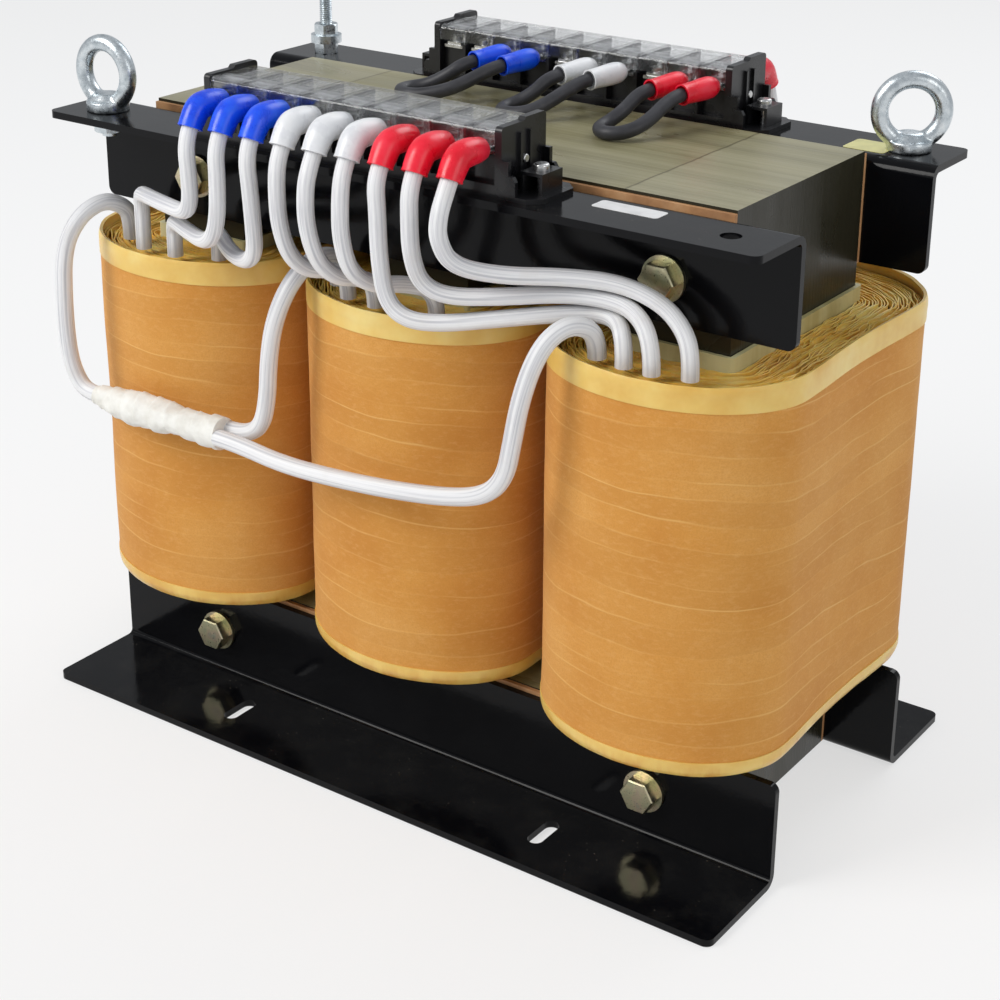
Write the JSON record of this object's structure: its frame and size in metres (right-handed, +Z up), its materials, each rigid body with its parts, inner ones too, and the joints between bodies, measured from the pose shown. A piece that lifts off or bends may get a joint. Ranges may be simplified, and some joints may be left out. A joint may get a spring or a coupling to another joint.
{
  "type": "dry type transformer",
  "caption": "Open three-phase dry type transformer: three wound limbs on a clamped laminated core, foot angles with slots, lifting eyes and two barrier terminal blocks.",
  "frame": {"origin": "on the floor plane, below the middle of the core, bottom centre of the body without its leads", "axes": "+X along the three limbs, -Y towards the side of the nine tapping leads, +Z up"},
  "size_m": [0.572, 0.3648, 0.495],
  "materials": {
    "core_steel": "satin varnish over stacked steel sheets",
    "black_paint": "gloss black enamel",
    "pressboard": "matt tan pressboard",
    "yellow_zinc": "yellow passivated zinc",
    "bright_zinc": "bright zinc",
    "former_board": "pale green glass-fibre laminate",
    "winding_paper": "varnished yellow paper layers",
    "crepe_paper": "varnished orange-brown crepe paper",
    "yellow_tape": "varnished yellow paper tape",
    "black_plastic": "moulded black thermoset",
    "clear_plastic": "clear polycarbonate",
    "white_card": "matt white card",
    "tinned_metal": "tin plate",
    "blue_vinyl": "soft satin vinyl",
    "white_vinyl": "soft satin vinyl",
    "red_vinyl": "soft satin vinyl",
    "white_sleeve": "varnished white braided sleeve",
    "white_tape": "white cotton tape",
    "black_cable": "matt black insulation"
  },
  "bodies": {
    "root": {"block_screws": "bright_zinc", "boots_blue": "blue_vinyl", "boots_red": "red_vinyl", "boots_white": "white_vinyl", "bottom_clamp_front": "black_paint", "bottom_clamp_rear": "black_paint", "cable_lugs": "tinned_metal", "core_stack": "core_steel", "earth_stud": "bright_zinc", "earth_stud_hardware": "bright_zinc", "end_bands_left": "yellow_tape", "end_bands_middle": "yellow_tape", "end_bands_right": "yellow_tape", "eye_bolt_front": "bright_zinc", "eye_bolt_nuts": "bright_zinc", "eye_bolt_rear": "bright_zinc", "former_left": "former_board", "former_middle": "former_board", "former_right": "former_board", "inner_winding_left": "winding_paper", "inner_winding_middle": "winding_paper", "inner_winding_right": "winding_paper", "jumper_left": "black_cable", "jumper_middle": "black_cable", "jumper_right": "black_cable", "lead_front_1": "white_sleeve", "lead_front_2": "white_sleeve", "lead_front_3": "white_sleeve", "lead_front_4": "white_sleeve", "lead_front_5": "white_sleeve", "lead_front_6": "white_sleeve", "lead_front_7": "white_sleeve", "lead_front_8": "white_sleeve", "lead_front_9": "white_sleeve", "lead_rear": "white_sleeve", "outer_winding_left": "winding_paper", "outer_winding_middle": "winding_paper", "outer_winding_right": "winding_paper", "outer_wrap_left": "crepe_paper", "outer_wrap_middle": "crepe_paper", "outer_wrap_right": "crepe_paper", "star_lead_left": "white_sleeve", "star_lead_middle": "white_sleeve", "star_lead_right": "white_sleeve", "star_splice": "white_tape", "terminal_bars": "tinned_metal", "terminal_base_front": "black_plastic", "terminal_base_rear": "black_plastic", "terminal_cover_front": "clear_plastic", "terminal_cover_rear": "clear_plastic", "terminal_markers": "white_card", "top_clamp_front": "black_paint", "top_clamp_rear": "black_paint", "yoke_bolt_tubes": "pressboard", "yoke_bolts": "yellow_zinc", "yoke_insulation_bottom": "pressboard", "yoke_insulation_top": "pressboard", "yoke_nuts": "yellow_zinc", "yoke_washers": "yellow_zinc"}
  },
  "joints": []
}
